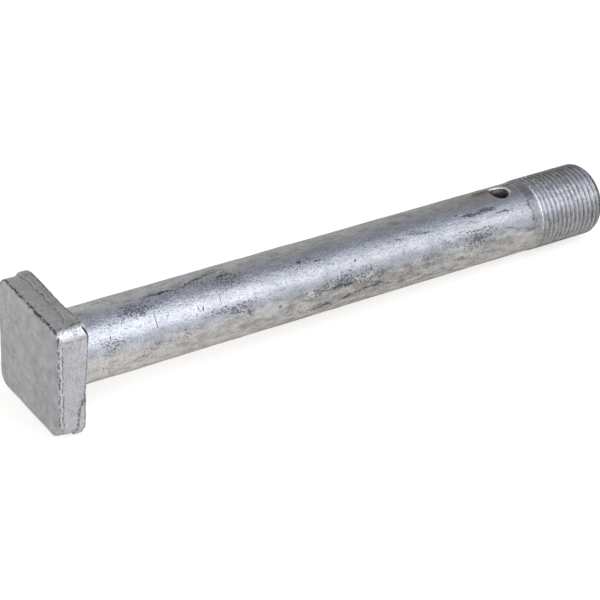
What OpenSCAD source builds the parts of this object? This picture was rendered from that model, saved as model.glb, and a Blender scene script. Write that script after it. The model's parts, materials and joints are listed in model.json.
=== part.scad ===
// Threaded guide pin, forged in one piece: a square head with a parting lip, a round plain
// shank, a cross hole for a retaining pin and a threaded end. Sizes are in millimetres.
// The pin lies at rest on the rim of its head and on the end of its thread, with the head
// towards -X, its axis in the XZ plane and the middle of its underside at the origin.
// The threaded end is drawn as the plain cylinder over the thread's crests.

/* [Head] */
// Width across the flats of the head's front block
head_w = 30.8; // [26:0.1:44]
// Thickness of the whole head along the pin
head_t = 7.2; // [5:0.1:14]
// Radius of the front block's four corners
head_corner_r = 3.4; // [1.5:0.1:8]
// Rounding of the head's front edge
head_edge_r = 0.7; // [0.2:0.05:1.4]

/* [Parting lip] */
// How far the lip left by the forging dies stands out past the flats
lip_out = 0.6; // [0.2:0.05:2]
// Thickness of the lip along the pin
lip_t = 2.4; // [2:0.1:4]
// Rounding of both edges of the lip
lip_edge_r = 0.5; // [0.1:0.05:0.9]

/* [Shank] */
// Diameter of the plain shank
shank_d = 19.5; // [12:0.1:24]
// Length of the plain shank, from under the head to the rise of the thread
shank_l = 140.7; // [40:0.1:400]
// Radius of the neck between the head and the shank
neck_r = 0.8; // [0.2:0.1:2]

/* [Threaded end] */
// Diameter over the crests of the thread
thread_d = 20; // [12:0.1:24]
// Length of the cone that rises from the shank to the first crest
rise_l = 2.6; // [0.5:0.1:8]
// Length of the thread, from its first crest to the pin's end
thread_l = 21.7; // [6:0.1:120]
// Chamfer at the pin's end
tip_chamfer = 1.2; // [0.3:0.1:4]

/* [Cross hole] */
// Diameter of the hole drilled across the shank, square to the head's flats
hole_d = 5.2; // [2:0.1:9]
// Distance from the hole's centre to the end of the plain shank
hole_to_rise = 5.7; // [5:0.1:30]
// Least width of the broken edge at the hole's mouths
hole_break = 0.4; // [0.1:0.05:1]

/* [Hidden] */
$fn = 96;
zinc_grey = [0.66, 0.67, 0.69];

// Radii and lengths that follow from the sizes above
shank_r = shank_d / 2;
thread_r = thread_d / 2;
hole_r = hole_d / 2;
pin_l = shank_l + rise_l + thread_l;
crest_end = pin_l - tip_chamfer;
lip_w = head_w + 2 * lip_out;
lip_corner_r = head_corner_r + lip_out;
hole_z = shank_l - hole_to_rise;
// Height above the pin's axis at which the hole's walls open into their broken edge
break_start = sqrt(pow(shank_r, 2) - pow(hole_r, 2)) - hole_break;
// Spare reach of a cut past the surface that it opens
cut_past = 1;

// Tilt at which the floor touches the round rear edge of the lip and a ring of radius r
// around the pin, x past the bearing face: the line from the edge's centre drops by drop
// over run, and the edge's own radius adds the second angle
function lean(x, r) =
    let (run = x + lip_edge_r, drop = lip_w / 2 - lip_edge_r - r)
    atan2(drop, run) + asin(lip_edge_r / norm([run, drop]));

// The pin rests on the last crest, or on the end of the shank where that meets the floor first
rest_tilt = min(lean(crest_end, thread_r), lean(shank_l, shank_r));

// Lowest point and ends of the tilted pin, measured from the middle of its bearing face
rest_low = lip_edge_r * sin(rest_tilt) - (lip_w / 2 - lip_edge_r) * cos(rest_tilt) - lip_edge_r;
rest_front = (head_edge_r - head_t) * cos(rest_tilt)
    - (head_w / 2 - head_edge_r) * sin(rest_tilt) - head_edge_r;
rest_end = pin_l * cos(rest_tilt) + (thread_r - tip_chamfer) * sin(rest_tilt);

// Half of a slab's section, from its middle out to its flat, with both outer edges rounded
module slab_section(reach, t, edge_r) {
    translate([0, edge_r]) square([reach, t - 2 * edge_r]);
    square([reach - edge_r, t]);
    for (y = [edge_r, t - edge_r]) translate([reach - edge_r, y]) circle(edge_r);
}

// Square slab on z = 0 with round corners: a straight side and a corner post, four times
module rounded_slab(w, t, corner_r, edge_r) {
    side = w - 2 * corner_r;
    for (turn = [0:90:270]) rotate(turn) {
        rotate([90, 0, 0]) linear_extrude(side, center = true) slab_section(w / 2, t, edge_r);
        translate([side / 2, side / 2, 0]) rotate_extrude() slab_section(corner_r, t, edge_r);
    }
}

// Head below z = 0: the front block runs back into the lip, which ends in the bearing face
module head() {
    translate([0, 0, -head_t])
        rounded_slab(head_w, head_t - lip_edge_r, head_corner_r, head_edge_r);
    translate([0, 0, -lip_t]) rounded_slab(lip_w, lip_t, lip_corner_r, lip_edge_r);
}

// Half section of the round body above z = 0: neck, shank, rise, thread and chamfer
module body_section() {
    polygon([
        [0, -lip_t / 2],
        [shank_r, -lip_t / 2],
        [shank_r, shank_l],
        [thread_r, shank_l + rise_l],
        [thread_r, crest_end],
        [thread_r - tip_chamfer, pin_l],
        [0, pin_l]
    ]);
    difference() {
        square([shank_r + neck_r, neck_r]);
        translate([shank_r + neck_r, neck_r]) circle(neck_r);
    }
}

// Drill through the shank along X, opening at 45 degrees towards both mouths
module cross_drill() {
    translate([0, 0, hole_z]) for (side = [0, 180]) rotate([0, side + 90, 0]) {
        cylinder(h = shank_r + cut_past, r = hole_r);
        mouth = shank_r + cut_past - break_start;
        translate([0, 0, break_start]) cylinder(h = mouth, r1 = hole_r, r2 = hole_r + mouth);
    }
}

// The pin is drawn upright on its bearing face, then laid down in its rest pose
module guide_pin() {
    color(zinc_grey)
        translate([-(rest_front + rest_end) / 2, 0, -rest_low])
        rotate([0, 90 + rest_tilt, 0])
        difference() {
            union() {
                head();
                rotate_extrude() body_section();
            }
            cross_drill();
        }
}

guide_pin();
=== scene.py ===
# %% [markdown]
# A guide pin, forged in one piece and dipped in molten zinc, lies on a pale table. The solid model
# gives its sizes and its place. This lesson makes the surface that the eye sees: the uneven forged
# head, the thread, the drilled hole and the worn zinc coat.
#
# The frame is loaded first, because every size below is read from it where it can be.

# %% Load the frame
import json
import math

import bpy
import numpy as np
from mathutils import Matrix, Vector


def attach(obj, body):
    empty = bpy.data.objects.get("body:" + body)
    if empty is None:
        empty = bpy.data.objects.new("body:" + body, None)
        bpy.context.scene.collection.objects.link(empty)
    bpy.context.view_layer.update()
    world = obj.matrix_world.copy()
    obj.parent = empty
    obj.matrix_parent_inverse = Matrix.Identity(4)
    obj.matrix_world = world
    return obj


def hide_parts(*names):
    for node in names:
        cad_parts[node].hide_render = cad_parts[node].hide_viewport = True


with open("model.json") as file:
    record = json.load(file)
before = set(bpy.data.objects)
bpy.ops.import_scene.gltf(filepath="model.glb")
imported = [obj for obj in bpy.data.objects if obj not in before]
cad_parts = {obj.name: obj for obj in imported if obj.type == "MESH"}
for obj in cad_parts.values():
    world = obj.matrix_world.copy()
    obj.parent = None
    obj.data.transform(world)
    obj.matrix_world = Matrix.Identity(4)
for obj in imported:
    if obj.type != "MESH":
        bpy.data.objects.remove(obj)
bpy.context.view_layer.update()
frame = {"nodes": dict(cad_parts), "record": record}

# %% [markdown]
# The pin leans a little as it rests, with its thread on the table and its head on the rim of the lip.
# Shapes are easier to write along the pin than along the table, so the pin gets axes of its own, in
# millimetres: x along the pin from the bearing face under the head, z out of the head's top flat, and
# y to the side. The mounts of the record give these axes, the radii and the ends of each stretch.

# %% The pin's own axes
MM = 0.001
mounts = {mount["name"]: mount for mount in frame["record"]["mounts"]}
along = np.array(mounts["shank"]["axis"], float)
up = np.array(mounts["cross_hole"]["axis"], float)
pin_axes = np.stack([along, np.cross(up, along), up])
shank_middle = np.array(mounts["shank"]["pos_m"], float)
bearing_point = np.array(mounts["bearing_face"]["pos_m"], float)
pin_start = shank_middle + along * ((bearing_point - shank_middle) @ along)


def pin_to_row(points):
    """Points in the pin's axes and millimetres, given in the frame's axes and metres."""
    return pin_start + (points * MM) @ pin_axes


def row_to_pin(points):
    """Points in the frame's axes and metres, given in the pin's axes and millimetres."""
    return (points - pin_start) @ pin_axes.T / MM


print("the pin starts at", pin_start.round(4), "and points along", along.round(4))

# %% [markdown]
# A round mount says where its wall starts and ends and how wide it is. What the mounts don't say, such
# as the sizes of the head, is measured on the solid model's own vertices.

# %% The pin's sizes
def mount_span(name):
    """The radius of a round mount, and where its wall starts and ends along the pin."""
    dims = mounts[name]["dims"]
    middle = row_to_pin(np.array(mounts[name]["pos_m"], float))[0]
    return dims["r_mm"], middle - dims["length_mm"] / 2, middle + dims["length_mm"] / 2


shank_r, neck_r, shank_end = mount_span("shank")
thread_r, thread_start, crest_end = mount_span("thread")
hole_r = mounts["cross_hole"]["dims"]["r_mm"]
hole_x = row_to_pin(np.array(mounts["cross_hole"]["pos_m"], float))[0]

solid = frame["nodes"]["guide_pin"].data
solid_points = np.empty(len(solid.vertices) * 3)
solid.vertices.foreach_get("co", solid_points)
solid_points = row_to_pin(solid_points.reshape(-1, 3))
pin_end = solid_points[:, 0].max()
head_t = -solid_points[:, 0].min()
lip_half = np.abs(solid_points[:, 1]).max()
in_front = solid_points[:, 0] < -0.7 * head_t
head_half = np.abs(solid_points[in_front, 1]).max()
print(f"head {2 * head_half:.2f} square, {head_t:.2f} thick, lip {2 * lip_half:.2f}, pin {pin_end:.2f} long")
print(f"shank radius {shank_r}, thread radius {thread_r} from {thread_start:.2f} to {crest_end:.2f}")

# %% [markdown]
# The camera stands where the photographer stood, above the head and to its left, with a long lens.
# A camera in Blender looks down its own -Z, so it is turned until its +Z points back from the pin.
# A small roll turns it about its line of sight.

# %% Camera
CAMERA_AIM = Vector((-7.70, 0.0, 7.18)) * MM
CAMERA_DISTANCE = 567.4 * MM
CAMERA_AZIMUTH = math.radians(-33.16)
CAMERA_ELEVATION = math.radians(32.66)
CAMERA_ROLL = math.radians(0.80)

back = Vector((
    math.sin(CAMERA_AZIMUTH) * math.cos(CAMERA_ELEVATION),
    -math.cos(CAMERA_AZIMUTH) * math.cos(CAMERA_ELEVATION),
    math.sin(CAMERA_ELEVATION),
))
camera_data = bpy.data.cameras.new("photo_camera")
camera_data.lens = 130.0
camera_data.sensor_width = 36.0
camera_data.clip_start = 0.01
camera = bpy.data.objects.new("photo_camera", camera_data)
bpy.context.scene.collection.objects.link(camera)
facing = back.to_track_quat("Z", "Y").to_matrix().to_4x4() @ Matrix.Rotation(CAMERA_ROLL, 4, "Z")
camera.matrix_world = Matrix.Translation(CAMERA_AIM + back * CAMERA_DISTANCE) @ facing
bpy.context.scene.camera = camera
print("camera at", [round(value, 4) for value in camera.location])

# %% [markdown]
# Nothing forged and dipped is quite flat or quite round. Unevenness is a sum of cosine waves that run
# in random directions through space: it is smooth, has no seam, and comes out the same on every run
# because the random draws are seeded. A point's place in space is all that it needs, so neighbouring
# stretches of surface always agree.

# %% Unevenness
WAVES = 28


def uneven(points, wavelength, seed):
    """Smooth random heights of unit spread: summed cosines of waves of one length in random directions."""
    draw = np.random.default_rng(seed)
    way = draw.normal(size=(WAVES, 3))
    way *= 2 * np.pi / wavelength / np.linalg.norm(way, axis=1, keepdims=True)
    phase = draw.uniform(0, 2 * np.pi, WAVES)
    return np.cos(points @ way.T + phase).sum(axis=-1) * math.sqrt(2 / WAVES)


def ease(value):
    """A smooth step from 0 to 1 as value goes from 0 to 1."""
    held = np.clip(value, 0, 1)
    return held * held * (3 - 2 * held)


def streak(distance, width):
    """A soft line: 1 where the distance is 0, falling off as a bell curve of a width."""
    return np.exp(-(distance / width)**2)


print("unevenness is made of", WAVES, "waves")

# %% [markdown]
# The whole pin is one grid of points. Its columns are angles round the axis. Angle 0 is the top, and
# angles grow towards the side that the camera sees. Two helpers say where something happens round the
# pin: a hump is centred on an angle, and an arc runs from one angle to another.

# %% Angles round the pin
COLUMNS = 224
angles = np.arange(COLUMNS) * 2 * np.pi / COLUMNS


def ring(angle, radius):
    """Points of a cross-section, in y and z: minus the sine and the cosine of the angle, times the radius."""
    return np.stack([-radius * np.sin(angle), radius * np.cos(angle)], axis=-1)


def apart(angle, degrees):
    """Degrees from one angle to another, the short way round."""
    return (np.degrees(angle) - degrees + 180) % 360 - 180


def hump(angle, degrees, width):
    """A hump of height 1 round the pin: a bell curve of the degrees from its middle."""
    return streak(apart(angle, degrees), width)


def arc(angle, start, end, soft):
    """1 from a start to an end in degrees and 0 elsewhere, eased over a soft stretch at both ends."""
    inside = (end - start) / 2 - np.abs(apart(angle, (start + end) / 2))
    return ease(inside / soft + 0.5)


print(f"{COLUMNS} columns, {2 * np.pi * shank_r / COLUMNS:.2f} mm apart on the shank")

# %% [markdown]
# On the head a row of points is a rounded square. Its corners came out of the die unequal: the one at
# the top on the camera's side is cut short and nearly flat, and the one below it is worn round. So a
# corner has two sizes: where it leaves the flats, and the radius of its bow.

# %% The rounded square of the head
HEAD_CORNER = 3.4
FRONT_EDGE = 0.55


def rounded_square(angle, half, corner):
    """Distance from the axis to a rounded square: half / cos along a flat, and at a corner the far crossing
    of the ray with a circle through both ends of the corner, its radius being corner times corner_bow."""
    turn = (angle + np.pi / 4) % (np.pi / 2) - np.pi / 4
    off_diagonal = np.pi / 4 - np.abs(turn)
    bow = corner * corner_bow(angle)
    centre = (2 * half - corner) / math.sqrt(2) - np.sqrt(bow**2 - corner**2 / 2)
    flat = half / np.cos(turn)
    beyond = np.sqrt(np.clip(bow**2 - (centre * np.sin(off_diagonal))**2, 0, None))
    on_corner = half * np.tan(np.abs(turn)) > half - corner
    return np.where(on_corner, centre * np.cos(off_diagonal) + beyond, flat)


def corner_size(angle):
    """How far from the square's own corner a flat ends: less at the upper corner on the camera's side."""
    near = 0.7 * hump(angle, 135, 25) - 0.9 * hump(angle, 45, 25)
    return HEAD_CORNER + near + 0.5 * hump(angle, -45, 25) + 0.5 * hump(angle, -135, 25)


def corner_bow(angle):
    """Radius of a corner's bow for each millimetre of its size: 1 is a plain quarter circle."""
    return 1 + 0.6 * arc(angle, 20, 70, 10)


print("corner sizes from 45 degrees on:", corner_size(np.radians([45, 135, 225, 315])).round(2))

# %% [markdown]
# Where the two dies met, metal squeezed out into a lip. It is no even band. Along the top it is a clear
# step, at the far corner it stands out most, on the upper part of the near side it runs out of the flat
# in one long slope, and below that it is thin. Its rear rim sways a little too. Each of these is a
# function of the angle.

# %% The parting lip
LIP_EDGE = 0.5
LIP_THICK = 2.4
LIP_STEP = 0.5
LIP_SLOPE = 3.2


def rim_place(angle):
    """A place on the rim for the unevenness to read: a ring as wide as the head."""
    return np.concatenate([np.zeros_like(angle)[..., None], ring(angle, head_half)], axis=-1)


def lip_slope(angle):
    """Where the lip has no step and grows out of the flat: 1 there and 0 elsewhere."""
    return arc(angle, 34, 88, 16)


def lip_front(angle):
    """Where the lip starts along the pin, with a ragged line."""
    place = rim_place(angle)
    ragged = 0.16 * uneven(place, 5.0, 11) + 0.09 * uneven(place, 2.0, 12)
    forward = 1.9 * lip_slope(angle) + 0.9 * hump(angle, -45, 15) + 0.3 * hump(angle, 137, 8)
    return ragged - LIP_THICK - forward + 1.9 * arc(angle, 84, 113, 28)


def lip_height(x, angle):
    """How far the lip stands out: its reach times an eased ramp behind its front line."""
    share = 1 + 0.1 * hump(angle, -45, 14) - 0.5 * arc(angle, -128, -60, 14)
    reach = (lip_half - head_half) * share + 0.04 * uneven(rim_place(angle), 2.6, 13)
    ramp = LIP_STEP + LIP_SLOPE * lip_slope(angle) + 0.9 * hump(angle, -45, 16)
    return reach * ease((x - lip_front(angle)) / ramp)


def rim_sway(angle):
    """How far the rear rim leans back past the bearing face, or keeps short of it."""
    near = 0.62 * hump(angle, 56, 26) + 0.2 * hump(angle, 45, 8)
    return near - 0.25 * hump(angle, 115, 14) - 0.35 * hump(angle, 132, 10)


print(f"the lip stands {lip_half - head_half:.2f} mm out, and starts {LIP_THICK} mm before the bearing face")

# %% [markdown]
# The rows follow the outline of the half section: out over the front face, round the front edge, back
# along the flats, over the rim of the lip and in across the bearing face, where the square turns into a
# circle, then along the neck, the shank, the rise and the thread to the end. A row holds a place along
# the pin, the scale and inset of its square, the radius of its circle, and how round it is.

# %% Rows of the head
QUARTER = np.pi / 2
FACE_ROWS = 12
EDGE_ROWS = 7
FLAT_ROWS = 26
TURNING_ROWS = 6
NECK_ROWS = 5


def past(start, end, count):
    """Evenly spaced values from one step past a start up to an end."""
    return np.linspace(start, end, count + 1)[1:]


def rows(x, scale=1.0, inset=0.0, radius=0.0, roundness=0.0):
    """Rows of the half section, one for each value given."""
    return np.stack(np.broadcast_arrays(np.atleast_1d(x), scale, inset, radius, roundness), axis=-1)


spread = past(0, 1, FACE_ROWS)
bend = past(0, QUARTER, EDGE_ROWS)
turning = past(0, 1, TURNING_ROWS)
neck_bend = past(0, QUARTER, NECK_ROWS)
head_rows = np.concatenate([
    rows(-head_t, spread, spread * FRONT_EDGE),
    rows(-head_t + FRONT_EDGE * (1 - np.cos(bend)), 1.0, FRONT_EDGE * (1 - np.sin(bend))),
    rows(past(FRONT_EDGE - head_t, -LIP_EDGE, FLAT_ROWS)),
    rows(-LIP_EDGE * (1 - np.sin(bend)), 1.0, LIP_EDGE * (1 - np.cos(bend))),
    rows(0.0, 1.0, LIP_EDGE, shank_r + neck_r, turning),
    rows(neck_r * (1 - np.cos(neck_bend)), radius=shank_r + neck_r * (1 - np.sin(neck_bend)), roundness=1.0),
])
print("rows of the head and neck:", len(head_rows))

# %% [markdown]
# On the shank the rows are further apart, and close again where the cross hole will be let in. The rise
# and the thread need the finest rows: twelve to a pitch keep the roots sharp. The chamfer at the end is
# worn to a bow, so the outline drops by the square of the distance from where it starts.

# %% Rows of the shank and thread
SHANK_ROWS = 145
HOLE_MARGIN = 4.3
HOLE_ROWS = 16
RISE_EARLY = 0.6
RISE_ROWS = 13
PITCH = 1.5
ROWS_PER_PITCH = 12
END_EARLY = 1.2
END_DROP = 1.35
END_ROWS = 5

rise_x = past(shank_end - RISE_EARLY, thread_start, RISE_ROWS)
turns = (pin_end - thread_start) / PITCH
thread_x = past(thread_start, pin_end, round(turns * ROWS_PER_PITCH))
body_x = np.concatenate([
    past(neck_r, hole_x - HOLE_MARGIN, SHANK_ROWS),
    past(hole_x - HOLE_MARGIN, hole_x + HOLE_MARGIN, HOLE_ROWS),
    past(hole_x + HOLE_MARGIN, shank_end - RISE_EARLY, 2),
    rise_x,
    thread_x,
])
body_outline = np.interp(body_x, [shank_end, thread_start], [shank_r, thread_r])
end_start = crest_end - END_EARLY
body_outline -= END_DROP * np.clip((body_x - end_start) / (pin_end - end_start), 0, None)**2
end_spread = np.linspace(1, 0, END_ROWS + 2)[1:-1]
section = np.concatenate([
    head_rows,
    rows(body_x, radius=body_outline, roundness=1.0),
    rows(pin_end, radius=body_outline[-1] * end_spread, roundness=1.0),
])
print("rows along the half section:", len(section))

# %% [markdown]
# The thread is a groove wound round the end. At every place the groove's phase is the distance along
# the pin in pitches less the turn round the pin, which makes the thread right-handed. The crests are
# rolled flat and zinc fills the roots, so the groove is a raised cosine, narrowed by a power. It fades in
# behind the rise and runs out through the chamfer.

# %% The thread
THREAD_DEPTH = 0.2
THREAD_NARROW = 8.0
THREAD_FADE = 1.6


def thread_hollow(x, angle, shift=0.0):
    """How deep in the groove a place is, from 0 on a crest to 1 in a root, read a shift of pitches away."""
    phase = (x - thread_start) / PITCH - angle / (2 * np.pi) - shift
    wave = (0.5 - 0.5 * np.cos(2 * np.pi * phase))**THREAD_NARROW
    return wave * ease((x - thread_start) / THREAD_FADE)


print(f"thread of {PITCH} mm pitch, {turns:.1f} turns, {THREAD_DEPTH} mm deep")

# %% [markdown]
# The shank's coat ends in a ragged line just before the rise, where the lathe cut the blank for the
# thread after the bar was drawn. The tool went a little deeper than the shank and then climbed to the
# crests.

# %% The rise
COAT_STEP = 0.13
COAT_STEP_LENGTH = 0.35


def coat_edge(angle):
    """Where the shank's coat ends along the pin: a ragged line near the end of the shank."""
    place = rim_place(angle)
    return shank_end - 0.1 + 0.10 * uneven(place, 7.0, 31) + 0.07 * uneven(place, 2.2, 32)


def rise_hollow(x, angle):
    """Depth of the lathe's cut: a step down at the coat's edge that is climbed again before the thread."""
    cut = ease((x - coat_edge(angle)) / COAT_STEP_LENGTH)
    return COAT_STEP * cut * ease((thread_start - x) / (thread_start - shank_end))


print("the coat ends between", coat_edge(angles).min().round(2), "and", coat_edge(angles).max().round(2))

# %% [markdown]
# A forged head is seldom true to its pin. This one reaches out, up and forward on the far side, by less
# than a millimetre each. The moves grow evenly across the head, so that its flats stay flat.

# %% The head off true
FAR_OUT = 0.8
FAR_UP = 0.45
FAR_FORWARD = 0.2


def off_true(points, share):
    """Points of the head, moved by a share: out by their far half, up and forward as they lie over."""
    far = points[..., 1] / head_half
    over = (1 + far) / 2
    front = np.clip(-points[..., 0] / head_t, 0, 1)
    top = np.clip(points[..., 2] / head_half, 0, 1)
    moves = [-FAR_FORWARD * over * front, FAR_OUT * np.clip(far, 0, None), FAR_UP * over * top]
    return points + share * np.stack(moves, axis=-1)


print("moves of the head, in millimetres:", FAR_OUT, FAR_UP, FAR_FORWARD)

# %% [markdown]
# Now rows and columns make points: the lip, the swaying rim, the lathe's cut and the groove are added
# where they belong.

# %% Points of the grid
x, scale, inset, outline, roundness = (section[:, part:part + 1] for part in range(5))
turn = np.repeat(angles[None], len(section), axis=0)
lip = lip_height(x, turn)
square = rounded_square(turn, scale * head_half - inset + lip, scale * corner_size(turn) - inset + lip)
groove = thread_r - THREAD_DEPTH * thread_hollow(x, turn)
circle = np.minimum(outline - rise_hollow(x, turn), np.where(x > thread_start, groove, outline))
reach = square * (1 - roundness) + circle * roundness
sway = rim_sway(turn) * ease((x + 2.0) / 1.5) * (1 - roundness)**2
grid = np.concatenate([(x + sway)[..., None], ring(turn, reach)], axis=-1)
grid = off_true(grid, (1 - roundness)[..., None])
print("grid of points:", grid.shape)

# %% [markdown]
# The hammer, the die and the zinc leave the surface uneven by some hundredths of a millimetre, which
# a satin finish shows at once in its reflections. Each point moves along its own normal: the cross
# product of the steps to its neighbours along the column and along the row. The head's front edge on
# the camera's side carries a bumpy bead of its own.

# %% Uneven heights
def grid_normals(points):
    """Unit normals of a grid closed round its columns: the step round it crossed with the step along it."""
    round_step = np.roll(points, -1, axis=1) - np.roll(points, 1, axis=1)
    normal = np.cross(round_step, np.gradient(points, axis=0))
    return normal / np.linalg.norm(normal, axis=-1, keepdims=True)


def forged_height(points):
    """Height of the shank's unevenness in millimetres: a long wave and a middle one."""
    return 0.028 * uneven(points, 14.0, 21) + 0.009 * uneven(points, 4.5, 22)


def bead_height(points, angle):
    """Height of the bumps along the head's front edge, strongest on the camera's side."""
    strip = streak(points[..., 0] + head_t - 0.8, 0.7) * streak((1 - scale) * head_half, 0.7)
    bumps = 0.08 * uneven(points, 2.2, 23) + 0.06 * uneven(points, 1.3, 24)
    return strip * (0.2 + 0.8 * arc(angle, 48, 142, 14)) * bumps


zone = np.where(grid[..., 0] < 0, 1.5, 1.0) - 0.75 * ease((grid[..., 0] - shank_end) / 2)
height = zone * forged_height(grid) + bead_height(grid, turn)
height += 0.03 * streak(lip / (lip_half - head_half) - 1, 0.4) * (roundness < 0.5) * uneven(grid, 3.0, 26)
height += 0.012 * ease(grid[..., 0] - thread_start) * uneven(grid, 1.0, 25)
print(f"heights from {height.min():.2f} to {height.max():.2f} mm")

# %% [markdown]
# Knocks are larger: a chip out of the head's lower front corner and shallow dents along the shank. A
# dent is a bell-shaped hollow round a point of the grid.

# %% Dents and the chipped corner
DENTS = [
    (-6.9, 135, 1.7, 0.55),
    (-6.6, 128, 0.8, 0.25),
    (-1.2, 131, 0.9, 0.2),
    (-2.7, 134, 0.7, 0.25),
    (49.0, 74, 2.4, 0.10),
    (58.9, 86, 0.9, 0.12),
    (73.0, 100, 4.0, 0.07),
    (84.0, 98, 4.0, 0.08),
    (123.0, 34, 3.2, 0.09),
    (110.0, 45, 4.0, 0.06),
    (30.0, 40, 4.0, 0.06),
    (36.5, 54, 1.4, 0.07),
]


def dent_depth(points, dent_x, degrees, size, depth):
    """Depth of one dent: a bell curve of the distance from the grid point nearest to its middle."""
    off = (points[..., 0] - dent_x)**2 + (apart(turn, degrees) / 5)**2
    middle = points[np.unravel_index(np.argmin(off), off.shape)]
    return depth * streak(np.linalg.norm(points - middle, axis=-1), size)


height -= sum(dent_depth(grid, *dent) for dent in DENTS)
surface = grid + height[..., None] * grid_normals(grid)
print(len(DENTS), "dents, heights now from", height.min().round(2), "mm")

# %% [markdown]
# The cross hole could be cut with a Boolean, but a Boolean leaves slivers on a grid this fine. Instead
# a block of the grid is left open on both sides of the shank, and a tube joins the two openings: its
# rings shrink from the block's outline to the hole's mouth, bend over the edge and go down the wall.
# First come the numbers of the points that go round each opening.

# %% Outline of the hole's openings
HOLE_COLUMNS = 16
first = int(np.argmin(np.abs(section[:, 0] - (hole_x - HOLE_MARGIN))))
last = first + HOLE_ROWS
number = np.arange(grid.shape[0] * COLUMNS).reshape(-1, COLUMNS)
across = np.arange(-HOLE_COLUMNS, HOLE_COLUMNS)
down = np.arange(first, last)
loop_rows = np.concatenate([np.full(across.size, first), down, np.full(across.size, last), down[::-1] + 1])
loop_columns = np.concatenate([
    across, np.full(down.size, HOLE_COLUMNS), across[::-1] + 1, np.full(down.size, -HOLE_COLUMNS),
])
top_loop = number[loop_rows, loop_columns % COLUMNS]
bottom_loop = number[loop_rows, (COLUMNS // 2 - loop_columns) % COLUMNS]
print("points round each opening:", top_loop.size)

# %% [markdown]
# A ring of the tube keeps each point's direction from the hole's axis and changes only its distance,
# so the quads stay even. The height of the shank's round surface over a point comes from the circle's
# equation. The edge is broken as a drill and a file leave it: a narrow, steep chamfer, bowed a little and
# worn wider on the near side.

# %% Rings of the hole
EDGE_IN = 0.5
EDGE_DOWN = 0.78
EDGE_BOW = 0.35
EDGE_WORN = 0.45
SHRINK_RINGS = 6
EDGE_RINGS = 6
WALL_RINGS = 10
loop_points = grid.reshape(-1, 3)[top_loop]
from_axis = loop_points[:, 0] - hole_x
bearing = np.arctan2(loop_points[:, 1], from_axis)
start_distance = np.hypot(from_axis, loop_points[:, 1])
shrink = past(0, 1, SHRINK_RINGS)[:, None]
edge_bend = past(0, QUARTER, EDGE_RINGS)[:, None]
edge_share = edge_bend / edge_bend[-1]
edge_width = EDGE_IN + EDGE_WORN * np.clip(-np.sin(bearing), 0, 1)
edge_in = edge_width * ((1 - EDGE_BOW) * edge_share + EDGE_BOW * np.sin(edge_bend))
edge_down = EDGE_DOWN * ((1 - EDGE_BOW) * edge_share + EDGE_BOW * (1 - np.cos(edge_bend)))
distance = np.concatenate([
    start_distance + (hole_r + edge_width - start_distance) * shrink,
    hole_r + edge_width - edge_in,
])
drop = np.concatenate([0 * shrink, edge_down])
mouth = np.stack([
    hole_x + distance * np.cos(bearing),
    distance * np.sin(bearing),
    np.sqrt(shank_r**2 - (distance * np.sin(bearing))**2),
], axis=-1)
outward = mouth * (0, 1, 1) / shank_r
mouth += (forged_height(mouth) - drop)[..., None] * outward
wall_share = np.linspace(1, -1, WALL_RINGS + 2)[1:-1, None, None]
wall = mouth[-1] * (1, 1, 0) + wall_share * mouth[-1] * (0, 0, 1)
tube = np.concatenate([mouth, wall, mouth[::-1] * (1, 1, -1)])
print("rings of the hole:", len(tube))

# %% [markdown]
# The faces join each point to the next in its row and to the row after. The front and the end of the
# pin each close on a single point with a fan of triangles. All faces are wound so that they look
# outwards, and the volume that they enclose, summed over their corners, proves it: it comes out
# positive.

# %% Faces
def band(rings):
    """Quads between neighbouring rings of point numbers, each ring closed on itself."""
    after = np.roll(rings, -1, axis=1)
    return np.stack([rings[:-1], after[:-1], after[1:], rings[1:]], axis=-1)


skin = band(number)
hole_cells = np.concatenate([across, COLUMNS // 2 + across]) % COLUMNS
kept = np.ones(skin.shape[:2], bool)
kept[np.ix_(down, hole_cells)] = False
tube_numbers = number.size + np.arange(tube.shape[0] * tube.shape[1]).reshape(tube.shape[:2])
hole_skin = band(np.concatenate([top_loop[None], tube_numbers, bottom_loop[None]]))
quads = np.concatenate([skin[kept], hole_skin.reshape(-1, 4)])

front_pole = number.size + tube_numbers.size
end_pole = front_pole + 1
poles = np.array([
    [surface[0, :, 0].mean(), 0, 0],
    [surface[-1, :, 0].mean(), 0, 0],
])
points = np.concatenate([surface.reshape(-1, 3), tube.reshape(-1, 3), poles])
front_fan = np.stack([np.full(COLUMNS, front_pole), np.roll(number[0], -1), number[0]], axis=-1)
end_fan = np.stack([number[-1], np.roll(number[-1], -1), np.full(COLUMNS, end_pole)], axis=-1)
fans = np.concatenate([front_fan, end_fan])
used = np.unique(np.concatenate([quads.ravel(), fans.ravel()]))
renumber = np.zeros(len(points), int)
renumber[used] = np.arange(used.size)
triangles = np.concatenate([quads[:, [0, 1, 2]], quads[:, [0, 2, 3]], fans])
corners = points[triangles]
volume = np.einsum("ij,ij->i", corners[:, 0], np.cross(corners[:, 1], corners[:, 2])).sum() / 6
print(f"{len(triangles)} triangles round a volume of {volume:.0f} cubic millimetres")
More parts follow.
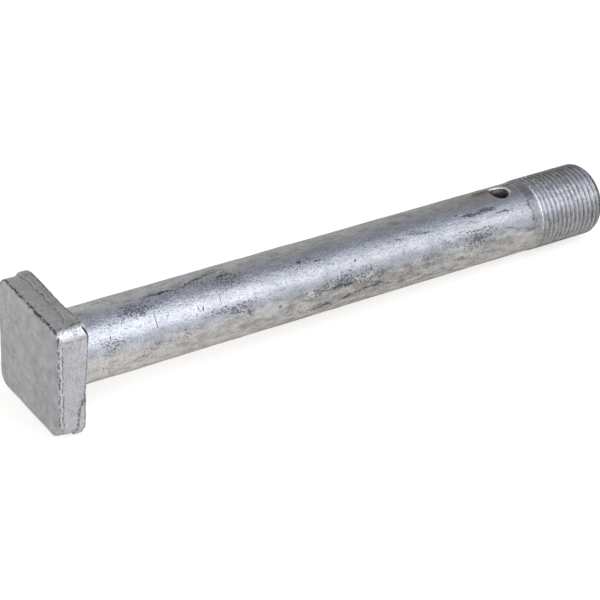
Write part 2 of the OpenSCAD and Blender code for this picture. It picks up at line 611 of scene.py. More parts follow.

# %% [markdown]
# Some hollows that the geometry knows best are darkened: before the lip, along the front edge, at the chip,
# along the rear rim, at the coat's edge, round the end and in the hole. Along the rear rim, round the end and
# in the hole this is painted shade, and at the coat's edge it is the painted shadow of the lathe's step with
# some dirt. Each point carries a number for this, the crease, that the material reads as an attribute. It is
# soft; the thin lines come later.

# %% Creases
head_outside = (x < 0.01) & (roundness < 1) & (scale > 0.99)
top_edge = 0.5 * streak(x + head_t - 0.45, 0.34) * arc(turn, -50, 44, 8)
lip_line = 0.5 * streak(x - lip_front(turn) - 0.1, 0.4) * (1 - lip_slope(turn))
# painted shade along the rear rim, where the head shades the neck
rear_rim_shade = 0.45 * streak(x + 0.08, 0.26) + 0 * turn
chip = dent_depth(grid, -6.6, 134, 1.1, 0.6) + dent_depth(grid, -2.6, 134, 0.7, 0.5)
# painted shadow of the lathe's step along the coat's edge, with some dirt
coat_line = 0.5 + 0.3 * arc(turn, -5, 80, 30)
coat_line = coat_line * streak(x - coat_edge(turn) - 0.15, 0.3)
# painted shade round the end of the thread
end_rim_shade = 0.82 * ease((x - crest_end + 1.2) / 1.0) * (outline > 0.8 * thread_r) + 0 * turn
creases = np.max([
    head_outside * top_edge,
    head_outside * lip_line,
    head_outside * chip,
    (roundness < 1) * rear_rim_shade,
    coat_line,
    end_rim_shade,
], axis=0)
ring_depth = np.minimum(np.arange(len(tube)), np.arange(len(tube))[::-1])[:, None]
# painted shade deep in the hole
hole_shade = np.interp(ring_depth, [11, 13], [0, 0.1])
print("points in a crease:", int((creases > 0.4).sum()))

# %% [markdown]
# More numbers ride along. Hollow says how deep in the thread's groove a point is, and crest how near to
# the middle of a ridge, so that roots can get painted shade and crests painted highlights in clean lines.
# Another number marks the bright upper corner of the head, partly worn and partly a painted highlight, and a
# painted highlight on the lit side of the hole's broken edge. Lumpy marks the bead and the lip, whose
# finest bumps are left to the material. Three distances, from the front edge, from the lip's front and
# from the rear rim, say where the material may draw thin lines.

# %% Other numbers on the points
FAR_AWAY = 3.0


def on_points(values, on_tube=0.0):
    """A number for every point: those of the grid, of the tube's rings, and of the rows next to the poles."""
    on_grid = np.broadcast_to(values, turn.shape)
    on_rings = np.broadcast_to(on_tube, tube.shape[:2])
    return np.concatenate([on_grid.ravel(), on_rings.ravel(), on_grid[[0, -1], 0]])


def off_line(distance):
    """A distance from a line, cut off where it is far away. The hole is far behind every line."""
    return on_points(np.clip(distance, -FAR_AWAY, FAR_AWAY), FAR_AWAY)


bead_strip = streak(x + head_t - 0.7, 0.7) * arc(turn, 44, 142, 8)
lip_top = ease(lip / (lip_half - head_half)) * (1 - 0.7 * lip_slope(turn))
# painted highlight on the lit side of the hole's broken edge
lit_side = ease(0.5 + np.sin(bearing) + 0.5 * np.cos(bearing))
hole_edge_highlight = np.interp(ring_depth, [4, 6, 9, 11], [0, 1, 1, 0]) * lit_side
# the head's upper corner: partly wear, partly a painted highlight
worn_corner_highlight = 0.42 * arc(turn, 40.5, 48.6, 3) * ease((x + head_t - 0.3) / 0.4)
carried = {
    "crease": on_points(creases, hole_shade),
    "hollow": on_points(thread_hollow(x, turn) * (x < crest_end + 0.6)),
    "crest": on_points(thread_hollow(x, turn, 0.5) * (x < crest_end - 0.3)),
    "rubbed": on_points(head_outside * worn_corner_highlight, hole_edge_highlight),
    "lumpy": on_points(head_outside * np.maximum(bead_strip, 0.6 * lip_top)),
    "off_edge": off_line(x + head_t - (1 - scale) * head_half),
    "off_lip": off_line(x - lip_front(turn)),
    "off_rim": off_line(x + FAR_AWAY * (roundness > 0)),
}
print("numbers on each point:", list(carried))

# %% [markdown]
# The points and faces go into one mesh. It rides on the pin's body and stands in for the solid model's
# node, which is hidden.

# %% Make the mesh
mesh = bpy.data.meshes.new("guide_pin_surface")
mesh.from_pydata(pin_to_row(points[used]), [], renumber[quads].tolist() + renumber[fans].tolist())
for name, values in carried.items():
    mesh.attributes.new(name, "FLOAT", "POINT").data.foreach_set("value", values[used])
mesh.shade_smooth()
pin = bpy.data.objects.new("guide_pin_surface", mesh)
bpy.context.scene.collection.objects.link(pin)
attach(pin, "root")
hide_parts("guide_pin")
print("mesh of", len(mesh.vertices), "points; repairs needed:", mesh.validate())

# %% [markdown]
# Shader maths is easier to read as Python than as a list of nodes and links. The class below wraps one
# output socket. Adding, subtracting, multiplying or dividing wires and numbers adds Math nodes, and one
# method adds any other node: its settings are set first, then its sockets get values or wires.

# %% A class for shader maths
class Wire:
    """One output socket of a node tree, for shader maths in Python expressions."""

    def __init__(self, tree, socket=None):
        self.tree = tree
        self.socket = socket

    def add(self, kind, settings=None, sockets=None, output=0):
        """Add a node of a kind, set its settings, then give each named socket its value or wire."""
        node = self.tree.nodes.new(kind)
        for name, value in (settings or {}).items():
            setattr(node, name, value)
        for name, value in (sockets or {}).items():
            if isinstance(value, Wire):
                self.tree.links.new(value.socket, node.inputs[name])
            else:
                node.inputs[name].default_value = value
        return Wire(self.tree, node.outputs[output])

    def other(self, output):
        """Another output of the node that this wire comes from."""
        return Wire(self.tree, self.socket.node.outputs[output])

    def math(self, operation, *values):
        """A Math node on some values or wires."""
        return self.add("ShaderNodeMath", {"operation": operation}, dict(enumerate(values)))

    def __add__(self, value):
        return self.math("ADD", self, value)

    def __sub__(self, value):
        return self.math("SUBTRACT", self, value)

    def __mul__(self, value):
        return self.math("MULTIPLY", self, value)

    def __truediv__(self, value):
        return self.math("DIVIDE", self, value)

    def __rsub__(self, value):
        return self.math("SUBTRACT", value, self)

    def __rtruediv__(self, value):
        return self.math("DIVIDE", value, self)

    __radd__ = __add__
    __rmul__ = __mul__

    def larger(self, value):
        """The larger of two values."""
        return self.math("MAXIMUM", self, value)

    def step(self, low, high):
        """A smooth step from 0 at a low value to 1 at a high one."""
        limits = {"Value": self, "From Min": low, "From Max": high}
        return self.add("ShaderNodeMapRange", {"interpolation_type": "SMOOTHSTEP"}, limits)

    def fall(self, low, high):
        """A smooth step the other way, from 1 at a low value to 0 at a high one."""
        return 1 - self.step(low, high)


COLOUR_RESULT = 2
FIRST_COLOUR = 6
SECOND_COLOUR = 7


def blend(share, first, second):
    """A colour that goes over from a first to a second one: a Mix node set to colours."""
    colours = {0: share, FIRST_COLOUR: first, SECOND_COLOUR: second}
    return share.add("ShaderNodeMix", {"data_type": "RGBA"}, colours, COLOUR_RESULT)


def shade(colour, factor):
    """A colour times a number: a Vector Math node set to scale."""
    return factor.add("ShaderNodeVectorMath", {"operation": "SCALE"}, {"Vector": colour, "Scale": factor})


print("shader maths is ready")

# %% [markdown]
# The zinc's pattern follows the pin, not the table, so a Mapping node turns the Object coordinates into
# the pin's own axes and millimetres. From these come the place along the pin, the angle round it and the
# distance from its axis. A cloud is Blender's noise with spots of a chosen size, drawn out along an axis
# where a mark is long.

# %% The pin's axes in the material
zinc_coat = bpy.data.materials.new("zinc_coat")
zinc_coat.use_nodes = True
zinc = Wire(zinc_coat.node_tree)
pin_turn = Matrix(pin_axes.tolist()).transposed().to_euler()
place = zinc.add("ShaderNodeMapping", {"vector_type": "TEXTURE"}, {
    "Vector": zinc.add("ShaderNodeTexCoord", output="Object"),
    "Location": pin_start,
    "Rotation": pin_turn,
    "Scale": (MM, MM, MM),
})
pin_x = zinc.add("ShaderNodeSeparateXYZ", sockets={"Vector": place})
pin_y = pin_x.other("Y")
pin_z = pin_x.other("Z")
pin_angle = zinc.math("ARCTAN2", -1 * pin_y, pin_z) * math.degrees(1)
off_axis = zinc.math("SQRT", pin_y * pin_y + pin_z * pin_z)


def cloud(size, stretch=(1, 1, 1), detail=2.0, shift=0.0):
    """Noise from 0 to 1 with spots of a size in millimetres, drawn out by a stretch along each axis."""
    share = [1 / (size * axis) for axis in stretch]
    moves = {0: place, 1: share, 2: (shift, shift, shift)}
    moved = zinc.add("ShaderNodeVectorMath", {"operation": "MULTIPLY_ADD"}, moves)
    return zinc.add("ShaderNodeTexNoise", sockets={"Vector": moved, "Scale": 1.0, "Detail": detail})


print("pattern turned by", [round(math.degrees(value), 3) for value in pin_turn], "degrees")

# %% [markdown]
# The coat has a soft tone of its own: pale and bluish clouds, a fine grain, the hammer's shallow facets,
# and faint lines round the pin left by the lathe and by turning in the hand. Masks say which stretch a
# place is on: the head, the rise, the thread, or the round side, which leaves out the flat faces.

# %% Tone and grain
mottle = cloud(9.0).step(0.35, 0.65)
grain = cloud(0.45, detail=3.0)
facets = cloud(2.6, (1.6, 1, 1), shift=7.0)
patches = cloud(1.5, (2.2, 1, 1), detail=4.0, shift=53.0)
lines = cloud(0.5, (0.4, 5, 5), shift=5.0)
on_head = pin_x.fall(-0.3, 0.1)
on_rise = pin_x.step(shank_end - 0.3, shank_end + 0.4) * pin_x.fall(thread_start - 0.5, thread_start)
on_thread = pin_x.step(thread_start - 0.4, thread_start + 0.4)
round_side = off_axis.step(thread_r - 2.4, thread_r - 1.4) * off_axis.fall(thread_r + 0.4, thread_r + 1.2)
print("clouds so far:", sum(node.bl_idname == "ShaderNodeTexNoise" for node in zinc.tree.nodes))

# %% [markdown]
# Single marks are told as a person would tell them: how far along the pin, how far round it in degrees,
# how long, how wide, how slanted and how dark. Streaks of scale lie along the pin and nicks go round it.

# %% Marks on the shank
STREAKS = [
    (27.5, 11, 4.4, 0.42, -0.05, 1.0),
    (37.2, 6, 3.8, 0.36, -0.22, 0.9),
    (43.2, -2, 3.0, 0.48, -0.20, 0.9),
    (45.6, 11, 2.2, 0.40, 0.0, 0.9),
    (48.4, 66, 1.0, 0.45, 0.6, 0.8),
    (49.6, 78, 0.9, 0.8, 1.6, 0.7),
    (58.9, 86.5, 0.5, 0.40, 0.0, 0.9),
    (67.2, 26.6, 0.9, 0.30, 0.0, 0.9),
    (72.1, 34, 1.1, 0.35, 0.0, 0.9),
    (82.9, 48.7, 0.45, 0.30, 0.0, 1.0),
    (72.4, 108, 4.2, 0.40, -0.16, 1.0),
    (79.0, 105, 2.6, 0.40, -0.25, 1.0),
    (85.3, 99, 4.8, 0.42, -0.10, 1.0),
    (77.0, 82, 5.5, 0.36, 0.0, 0.9),
    (65.5, 111, 1.8, 0.18, 0.9, 0.8),
    (97.2, 38, 1.0, 0.30, 0.0, 0.7),
    (105.5, 37, 4.4, 0.26, 0.17, 0.6),
    (113.0, 28, 1.4, 0.30, 0.0, 0.7),
    (117.4, 26, 0.7, 0.30, 0.0, 0.8),
    (121.0, 31, 2.6, 0.42, 0.0, 1.0),
    (126.8, 31, 3.6, 0.75, 0.0, 0.9),
    (132.2, 41, 2.4, 0.28, 0.05, 1.0),
    (122.7, 56, 5.6, 0.12, 0.0, 1.0),
    (133.0, 70, 2.8, 0.14, 0.16, 0.7),
    (121.0, 71, 2.4, 0.45, 0.0, 0.6),
    (18.9, 120, 1.8, 0.20, 0.6, 0.6),
    (23.8, 113, 1.5, 0.20, 0.4, 0.6),
    (130.4, -10, 3.2, 0.70, 0.0, 0.9),
    (139.4, -13, 2.0, 0.60, 0.0, 0.85),
]
NICKS = [
    (10.65, 57, 0.15, 0.9, 0.9),
    (23.7, 51, 0.15, 2.3, 0.9),
    (35.6, 52, 0.16, 0.85, 0.8),
    (37.0, 54, 0.20, 0.8, 0.9),
    (42.3, 46, 0.09, 2.4, 0.7),
    (126.0, 71, 0.18, 0.8, 0.7),
]
print("marks placed by hand:", len(STREAKS) + len(NICKS))

# %% [markdown]
# A mark is dark within an ellipse round its middle. A cloud makes the lines wander and another one frays
# their edges. Each streak also gets a wide halo, to which pits will be drawn. Round the far side of the pin,
# a long drawn-out cloud scatters streaks of the same kind.

# %% Drawing the marks
wander = (cloud(2.4, (1.4, 1, 1), shift=41.0) - 0.5) * 2.0
fray = (cloud(0.35, (2.2, 1, 1), detail=3.0, shift=17.0) - 0.5) * 5.0


def off_mark(mark_x, degrees, slant=0.0):
    """Millimetres from a mark's middle, along the pin and round it, the second one slanted by the first."""
    off_x = pin_x - mark_x
    return off_x, (pin_angle - degrees) * math.radians(shank_r) - off_x * slant


def how_far(off_x, off_round, length, width):
    """Squared distance from a mark's middle, with its length and its width as the units."""
    return zinc.math("POWER", off_x / length, 2) + zinc.math("POWER", off_round / width, 2)


marks = 0 * pin_x
halo = 0 * pin_x
for mark_x, degrees, length, width, slant, strength in STREAKS:
    off_x, off_round = off_mark(mark_x, degrees, slant)
    far = how_far(off_x, off_round + wander, length, width)
    marks = marks.larger((far + fray).fall(0.0, 1.5) * strength)
    halo = halo.larger(zinc.math("EXPONENT", far * -0.12) * strength)
for mark_x, degrees, width, length, strength in NICKS:
    off_x, off_round = off_mark(mark_x, degrees)
    far = how_far(off_x + wander * 0.25 + off_round * 0.06, off_round, width, length)
    marks = marks.larger((far + fray * 0.7).fall(0.3, 1.3) * strength)
far_side = pin_angle.fall(-75, -50) + pin_angle.step(142, 165)
far_side = far_side * pin_x.step(2, 8) * pin_x.fall(shank_end - 4, shank_end)
far_streaks = cloud(0.75, (6, 1, 1), detail=3.0, shift=101.0).step(0.64, 0.70)
marks = marks.larger(far_streaks * far_side * 0.8)
print("nodes with the marks:", len(zinc.tree.nodes))

# %% [markdown]
# Dark pits lie thick in some places and thin in others. They crowd round the streaks and in soft spots
# that are placed like the marks and fade as a bell curve of the distance from their middle.

# %% Pits
CROWDS = [
    (20, 28, 9, 2.2), (12, 68, 7, 1.6), (36, 24, 9, 2.2), (50, 24, 4, 2.6), (44, 69, 6, 1.6),
    (71, 32, 6, 1.4), (73, 76, 9, 2.0), (86, 14, 5, 1.2), (104, 38, 6, 1.4), (122, 69, 4, 1.6),
    (44, 15, 7, 1.6), (50, 55, 2.5, 2.0), (70, 22, 8, 1.4), (78, 70, 9, 1.4),
]


def soft_spot(mark_x, degrees, length, width):
    """A soft spot on the shank: a bell curve of the distance from its middle."""
    return zinc.math("EXPONENT", -1 * how_far(*off_mark(mark_x, degrees), length, width))


crowded = cloud(6.0, (1.6, 1, 1), shift=11.0) * 0.5 + halo * 0.07 - 0.2 * pin_x.fall(3, 9)
crowded = crowded - 0.06 * pin_angle.step(36, 44) * pin_angle.fall(54, 62) + 0.09 * far_side
for crowd in CROWDS:
    crowded = crowded + soft_spot(*crowd) * 0.13
strokes = cloud(0.42, (1.5, 1, 1), detail=3.0, shift=3.0)
pits = (strokes + crowded + 0.03 * pin_angle.step(72, 90)).step(0.90, 0.99)
print("crowded places:", len(CROWDS))

# %% [markdown]
# Where two faces of the head meet, thin dark lines waver and break off. A line is drawn where a distance
# is near 0: from the front edge, from the lip, from the rim, or from an angle times the corner's distance
# from the axis. Behind the bright corner a gap between the corner and the lip's edge lies in shadow, and
# its shade is painted too.

# %% Lines on the head
CORNER_REACH = 20.0


def read(name):
    """A number that the mesh carries on its points."""
    return zinc.add("ShaderNodeAttribute", {"attribute_name": name}, output="Fac")


def between(low, high):
    """1 between two angles round the pin, with soft ends."""
    return pin_angle.step(low - 3, low + 3) * pin_angle.fall(high - 3, high + 3)


off_edge = read("off_edge")
off_lip = read("off_lip")
off_rim = read("off_rim")
waver = (cloud(1.5, shift=71.0) - 0.5) * 2.8 + (cloud(0.55, shift=73.0) - 0.5) * 2.2
broken = cloud(1.0, detail=3.0, shift=79.0).step(0.34, 0.56)


def drawn(distance, width, wavering):
    """A thin line of a width where a distance is 0, with a share of the waver, and broken off in places."""
    return zinc.math("ABSOLUTE", distance + waver * wavering).fall(0.35 * width, width) * broken


def along_angle(degrees):
    """Millimetres round the head's corner from an angle."""
    return (pin_angle - degrees) * math.radians(CORNER_REACH)


print("clouds with the waver:", sum(node.bl_idname == "ShaderNodeTexNoise" for node in zinc.tree.nodes))

# %% [markdown]
# A line is told by what it follows, how far from it it runs, its width, its share of the waver, between
# which angles it is drawn and how dark it is. Two more run along the bright corner. The painted shade of
# the gap behind the corner is an ellipse across the rim, leaning with the corner.

# %% Drawing the lines
FOLLOWING = [
    (off_edge, 0.35, 0.44, 0.32, -52, 50, 0.9),
    (off_edge, 0.2, 0.22, 0.34, 45, 142, 0.7),
    (off_edge, 1.1, 0.22, 0.42, 47, 142, 0.7),
    (off_lip, 0.1, 0.28, 0.12, -60, 38, 0.4),
    (off_lip, 0.1, 0.34, 0.12, 97, 142, 0.65),
    (off_rim, -0.36, 0.24, 0.06, 46, 142, 0.7),
    (off_rim, -0.45, 0.34, 0.25, -60, 38, 0.5),
]
CORNER_LINES = [(40, 0.36, 0.75), (50.5, 0.26, 0.4)]
on_corner = off_edge.step(0.1, 0.4) * off_rim.fall(-0.3, 0.0)
down_corner = along_angle(46)
# painted shade of the gap behind the bright corner
gap_across = (off_rim + 0.6 - 0.2 * down_corner) / 0.26
corner_gap_shade = zinc.math("POWER", gap_across, 2) + zinc.math("POWER", down_corner / 1.2, 2)
head_lines = corner_gap_shade.fall(0.5, 1.3)
for edge, away, width, wavering, start, end, strength in FOLLOWING:
    head_lines = head_lines.larger(drawn(edge - away, width, wavering) * between(start, end) * strength)
for degrees, width, strength in CORNER_LINES:
    head_lines = head_lines.larger(drawn(along_angle(degrees), width, 0.5) * on_corner * strength)
print("nodes with the lines:", len(zinc.tree.nodes))

# %% [markdown]
# Now the layers go over each other, from the metal outwards. The shank comes first: pale and bluish zinc,
# with painted reflections, cooler beside the bright band and warmer low down, and painted light and shade
# that make it lighter towards the head and darker along both outlines. A soft strip along the pin is a bell
# curve of the angle.

# %% Zinc of the shank
PALE_ZINC = (0.445, 0.443, 0.445, 1)
BLUE_ZINC = (0.390, 0.398, 0.412, 1)
COOL_REFLECTION = (0.375, 0.392, 0.440, 1)
WARM_REFLECTION = (0.455, 0.438, 0.415, 1)


def near_angle(degrees, width):
    """A soft strip along the pin: a bell curve of the degrees from its middle."""
    return zinc.math("EXPONENT", -1 * zinc.math("POWER", (pin_angle - degrees) / width, 2))


metal = blend(mottle, PALE_ZINC, BLUE_ZINC)
# painted reflection of the bluish lamps on both flanks of the bright band
metal = blend((near_angle(25, 11) + near_angle(68, 8)) * round_side * 0.6, metal, COOL_REFLECTION)
# painted reflection of the warm table low on the shank
metal = blend(pin_angle.step(76, 96) * round_side * 0.7, metal, WARM_REFLECTION)
# painted shade along both outlines, and painted light that falls off from the head along the pin
shaded = 0.19 * pin_angle.step(121, 135) + 0.16 * pin_angle.fall(-35, -20)
metal = shade(metal, (0.87 + 0.34 * pin_x.fall(-20, 90)) * (1 - shaded * round_side))
print("nodes with the shank's zinc:", len(zinc.tree.nodes))

# %% [markdown]
# The head is a plainer grey: beige on the lip along the top, a touch violet on the near flat that is a
# painted reflection, painted shade on the front face, and bright where its upper corner is worn and a
# highlight is painted on it.

# %% Zinc of the head
HEAD_ZINC = (0.466, 0.464, 0.467, 1)
BEIGE_ZINC_AND_WARM_REFLECTION = (0.41, 0.395, 0.37, 1)
NEAR_FLAT_REFLECTION = (0.457, 0.453, 0.472, 1)
WORN_AND_HIGHLIGHT_ZINC = (0.92, 0.92, 0.93, 1)

rubbed = read("rubbed")
on_front = off_edge.fall(-0.2, 0.3)
metal = blend(on_head, metal, HEAD_ZINC)
metal = blend(on_head * off_lip.step(0.3, 0.9) * pin_angle.fall(36, 42) * 0.6, metal, BEIGE_ZINC_AND_WARM_REFLECTION)
# painted reflection tint on the near flat
metal = blend(on_head * between(47, 141), metal, NEAR_FLAT_REFLECTION)
# painted shade on the front face
metal = shade(metal, 1 - 0.15 * on_front)
# worn corner and painted highlights: the head's upper corner and the hole's lit edge
metal = blend(rubbed, metal, WORN_AND_HIGHLIGHT_ZINC)
print("nodes with the head's zinc:", len(zinc.tree.nodes))

# %% [markdown]
# The thread's coat is thinner and darker, with a painted warm reflection low down. The rise before it is
# darker still, with painted shade everywhere but low down, and the thread's first ridge gets a painted
# highlight where it faces the light.

# %% Zinc of the rise and thread
THREAD_ZINC = (0.405, 0.413, 0.430, 1)
RISE_METAL_AND_SHADE = (0.18, 0.185, 0.20, 1)

# painted highlight on the thread's first ridge
first_ridge_highlight = zinc.math("ABSOLUTE", pin_x - thread_start - 0.45).fall(0.05, 0.4)
first_ridge_highlight = first_ridge_highlight * pin_angle.step(6, 14) * pin_angle.fall(55, 110)
metal = blend(on_thread, metal, THREAD_ZINC)
# painted warm reflection of the table low on the thread
metal = blend(on_thread * pin_angle.step(78, 112) * round_side * 0.7, metal, BEIGE_ZINC_AND_WARM_REFLECTION)
# the rise: darker metal, with painted shade everywhere but low down
metal = blend(on_rise * (0.2 + 0.45 * pin_angle.fall(60, 100)), metal, RISE_METAL_AND_SHADE)
metal = blend(first_ridge_highlight * 0.85, metal, WORN_AND_HIGHLIGHT_ZINC)
print("nodes with the thread's zinc:", len(zinc.tree.nodes))

# %% [markdown]
# The thread's tone follows its groove: crests get painted highlights and roots painted shade, and both come
# and go in bands round the pin. Its top and its underside get painted shade, darker than its near side.

# %% Tone of the thread
# painted shade on the thread's top and underside
thread_side_shade = 0.47 * pin_angle.fall(-14, 18) + 0.28 * pin_angle.step(56, 76)
thread_side_shade = thread_side_shade - 0.09 * pin_angle.step(96, 112) + 0.28 * pin_angle.step(118, 135)
thread_side_shade = (thread_side_shade - 0.09 * pin_angle.fall(-18, -4)) * round_side
bands = cloud(0.9, (0.6, 2.6, 2.6), detail=3.0, shift=97.0)
# painted highlights on the crests
thread_tone = on_thread * (0.9 * (bands - 0.5) - 0.08 - thread_side_shade) + 0.44 * read("crest") * bands
root_share = cloud(1.6, detail=3.0, shift=89.0).step(0.3, 0.65) * pin_x.step(thread_start, thread_start + 9)
# painted shade in the roots
root_shade = read("hollow") * (0.15 + 0.5 * root_share)
print("nodes with the thread's tone:", len(zinc.tree.nodes))

# %% [markdown]
# The coat is uneven everywhere: a fine grain, the lathe's lines, and blotches that are strongest low on the
# shank and along its top. Broad soft strips of painted light and shade make the shank lighter or darker
# along its length, and on the thread's near side; a painted highlight follows the bead of the head's near
# edge, and the thread's roots take their painted shade.

# %% Tone of the coat
on_shank = (1 - on_head) * (1 - on_thread) * round_side
low_blotches = (0.6 + pin_x.step(25, 60)) * pin_angle.step(66, 84) * on_shank
top_blotches = 0.9 * pin_angle.fall(2, 16) * on_shank
blotchy = 0.55 + low_blotches + top_blotches - 0.25 * on_head - 0.2 * on_front
tone = 1 + (0.9 + 1.9 * rubbed) * (grain - 0.5) + (0.3 + 0.4 * pin_x.fall(6, 12)) * (lines - 0.5)
tone = tone + blotchy * (patches - 0.5) + 0.05 * on_head * (mottle - 0.5) + thread_tone
# painted highlight along the bead of the head's near edge
tone = tone + 0.12 * on_head * between(46, 141) * zinc.math("ABSOLUTE", off_edge - 0.65).fall(0.1, 0.5)
# painted light and shade in strips along the pin
painted_light_strips = (0.2 + 0.1 * pin_x.step(36, 48) * pin_x.fall(78, 96)) * near_angle(-6, 19)
painted_light_strips = painted_light_strips + 0.11 * near_angle(118, 8) + 0.08 * near_angle(54, 8) - 0.07 * near_angle(78, 8)
painted_light_strips = painted_light_strips * on_shank + on_thread * 0.12 * near_angle(30, 10) * round_side
metal = shade(metal, (tone + painted_light_strips) * (1 - root_shade))
print("nodes with the coat's tone:", len(zinc.tree.nodes))

# %% [markdown]
# Brown scale shows through in blotches, away from the bright band and in a few places more than elsewhere.
# Darker smears lie round the hole, and glints are painted where the thread starts.

# %% Brown stains
BROWN_SCALE = (0.25, 0.23, 0.21, 1)
SMEAR = (0.195, 0.168, 0.145, 1)

brown_zone = soft_spot(84, 95, 15, 2.6) + soft_spot(130, -13, 4, 1.4) + soft_spot(93, 92, 5, 2.0)
off_band = (pin_angle.fall(6, 20) + pin_angle.step(76, 95)) * on_shank
stain = cloud(0.9, (3.5, 1, 1), detail=3.0, shift=23.0) + 0.13 * brown_zone + 0.06 * off_band
metal = blend(stain.step(0.57, 0.76) * (0.5 - 0.35 * on_front), metal, BROWN_SCALE)
metal = blend(patches.step(0.45, 0.75) * off_band * 0.25, metal, BROWN_SCALE)
smear = soft_spot(129, -3, 3.5, 0.7) + soft_spot(139, 2, 1.6, 2.5) + 0.5 * soft_spot(131, 14, 7, 1.2)
metal = blend(smear * patches.step(0.25, 0.7) * 0.85, metal, SMEAR)
metal = blend(soft_spot(128, -8, 16, 3.5) * 0.3 + soft_spot(130, -7, 3.5, 1.3) * 0.4, metal, SMEAR)
# painted glints where the thread starts
glints = cloud(0.5, shift=83.0).step(0.62, 0.67) * on_thread * between(-25, 22)
glints = glints * pin_x.fall(thread_start + 4.7, thread_start + 10.7)
metal = blend(glints, metal, WORN_AND_HIGHLIGHT_ZINC)
print("nodes with the stains:", len(zinc.tree.nodes))

# %% [markdown]
# Last come the dark layers: dirt and painted shade in the creases, specks on the bead and the lip, pits,
# marks and the thin lines, with the painted shade of the gap behind the corner. At each place the darkest of
# them counts.

# %% Dark scale and dirt
DARK_SCALE_AND_SHADE = (0.055, 0.053, 0.060, 1)

crease = read("crease")
lumpy = read("lumpy")
# dirt, and painted shade where the crease marks the rear rim, the coat's edge, the end and the hole
dirt_and_shade = (crease + (cloud(0.9, detail=3.0, shift=29.0) - 0.5) * 1.8).step(0.45, 0.95) * crease.step(0.08, 0.3)
specks = (cloud(0.5, detail=2.0, shift=61.0) + 0.15 * lumpy).step(0.74, 0.84) * lumpy
dark = (pits * 0.68).larger(marks * 0.9).larger(dirt_and_shade * 0.85).larger(specks * 0.6).larger(head_lines)
metal = blend(dark, metal, DARK_SCALE_AND_SHADE)
print("nodes for the colour:", len(zinc.tree.nodes))

# %% [markdown]
# Dark places are also duller. The fine grain, the facets, the lines and the smallest pits are too shallow
# for the mesh, so a Bump node gives them their relief, with heights in millimetres. It works out its
# input three times, so its chain is kept short. A dull coat mirrors less at grazing angles than clean
# metal does, so its edge tint is grey.

# %% Finish of the zinc coat
dullness = 0.39 + 0.3 * (grain - 0.5) + 0.05 * on_thread + 0.15 * dark + 0.1 * rubbed
relief = 0.09 * grain + 0.15 * facets + 0.03 * lines - 0.05 * strokes.step(0.55, 0.75)
relief = relief + (0.1 * lumpy + 0.45 * rubbed) * cloud(0.8, shift=67.0)
bumped = zinc.add("ShaderNodeBump", sockets={"Height": relief, "Distance": MM, "Strength": 1.0})

shader = zinc.tree.nodes["Principled BSDF"]
shader.inputs["Metallic"].default_value = 1.0
shader.inputs["Specular Tint"].default_value = (0.66, 0.66, 0.66, 1)
for socket, wire in {"Base Color": metal, "Roughness": dullness, "Normal": bumped}.items():
    zinc.tree.links.new(wire.socket, shader.inputs[socket])
mesh.materials.append(zinc_coat)
print("nodes in the zinc coat:", len(zinc.tree.nodes))

# %% [markdown]
# The table is a plain pale board. It is lit like everything else and so keeps the pin's shadow. To the
# camera and in reflections it also glows a little, so that it shows as white. The Light Path node tells
# camera, glossy and transmission rays from the rest, so that the glow lights nothing else.

# %% Table
bpy.context.scene.view_settings.view_transform = "Standard"
TABLE_HALF = 3.0
TABLE_GLOW = (0.67, 0.66, 0.645, 1)
table_mesh = bpy.data.meshes.new("table")
table_corners = [(-TABLE_HALF, -TABLE_HALF, 0), (TABLE_HALF, -TABLE_HALF, 0),
                 (TABLE_HALF, TABLE_HALF, 0), (-TABLE_HALF, TABLE_HALF, 0)]
table_mesh.from_pydata(table_corners, [], [(0, 1, 2, 3)])
table = bpy.data.objects.new("table", table_mesh)
bpy.context.scene.collection.objects.link(table)

pale_board = bpy.data.materials.new("pale_board")
pale_board.use_nodes = True
board = Wire(pale_board.node_tree)
seen = board.add("ShaderNodeLightPath", output="Is Camera Ray")
seen = seen.larger(seen.other("Is Glossy Ray")).larger(seen.other("Is Transmission Ray"))
glow = blend(seen, (0, 0, 0, 1), TABLE_GLOW)
board_shader = board.tree.nodes["Principled BSDF"]
board_shader.inputs["Base Color"].default_value = (0.55, 0.54, 0.525, 1)
board_shader.inputs["Roughness"].default_value = 0.9
board_shader.inputs["Specular IOR Level"].default_value = 0.0
board_shader.inputs["Emission Strength"].default_value = 1.0
board.tree.links.new(glow.socket, board_shader.inputs["Emission Color"])
table_mesh.materials.append(pale_board)
print("table", 2 * TABLE_HALF, "metres square")

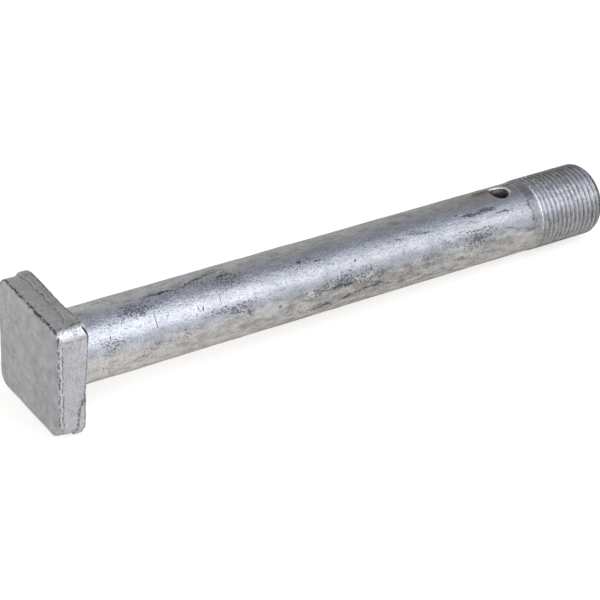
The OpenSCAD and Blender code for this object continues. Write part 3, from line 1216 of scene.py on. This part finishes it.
# %% [markdown]
# The room is a white cove: bright all round at the height of the table and darker overhead, which is
# what gives a round bar its dark band along the top. The gradient follows the height of each direction.

# %% Room
HORIZON = (0.86, 0.85, 0.835, 1)
OVERHEAD = (0.40, 0.42, 0.46, 1)
world = bpy.data.worlds.new("white_cove")
bpy.context.scene.world = world
world.use_nodes = True
cove = Wire(world.node_tree)
direction = cove.add("ShaderNodeTexCoord", output="Generated")
direction_z = cove.add("ShaderNodeSeparateXYZ", sockets={"Vector": direction}).other("Z")
cove_colour = blend(direction_z.step(0.1, 1.0), HORIZON, OVERHEAD)
world.node_tree.links.new(cove_colour.socket, world.node_tree.nodes["Background"].inputs["Color"])
print("room from", HORIZON[:3], "to", OVERHEAD[:3])

# %% [markdown]
# One large softbox stands on the camera's side, high and towards the thread. Its reflection is the long
# bright band on the shank. A broad bluish panel behind it, like a window, gives the band its cool edges.
# A small softbox beside the camera draws glints on what faces the head, such as the thread's flanks and
# the hole's edge, and a weak fill from the left keeps the front of the head light.

# %% Lamps
def softbox(name, way, distance, width, height, power, colour):
    """A rectangular lamp that looks at the pin from a direction and a distance in metres."""
    lamp = bpy.data.lights.new(name, "AREA")
    lamp.shape = "RECTANGLE"
    lamp.size = width
    lamp.size_y = height
    lamp.energy = power
    lamp.color = colour
    stand = bpy.data.objects.new(name, lamp)
    towards = Vector(way).normalized()
    turned = towards.to_track_quat("Z", "Y").to_matrix().to_4x4()
    stand.matrix_world = Matrix.Translation(towards * distance) @ turned
    bpy.context.scene.collection.objects.link(stand)
    return stand


key = softbox("key_softbox", (0.34, -0.61, 0.62), 0.9, 0.75, 0.62, 2.7, (0.975, 0.965, 0.99))
window = softbox("window_panel", (0.34, -0.61, 0.62), 1.15, 1.7, 1.4, 2.8, (0.74, 0.92, 1.31))
side = softbox("side_softbox", (-0.60, -0.56, 0.53), 0.9, 0.6, 0.3, 0.9, (1.0, 1.0, 1.0))
fill = softbox("fill_softbox", (-0.9, 0.1, 0.45), 1.1, 0.8, 0.8, 0.4, (1.0, 1.0, 1.0))
print("lamps:", [lamp.name for lamp in (key, window, side, fill)])
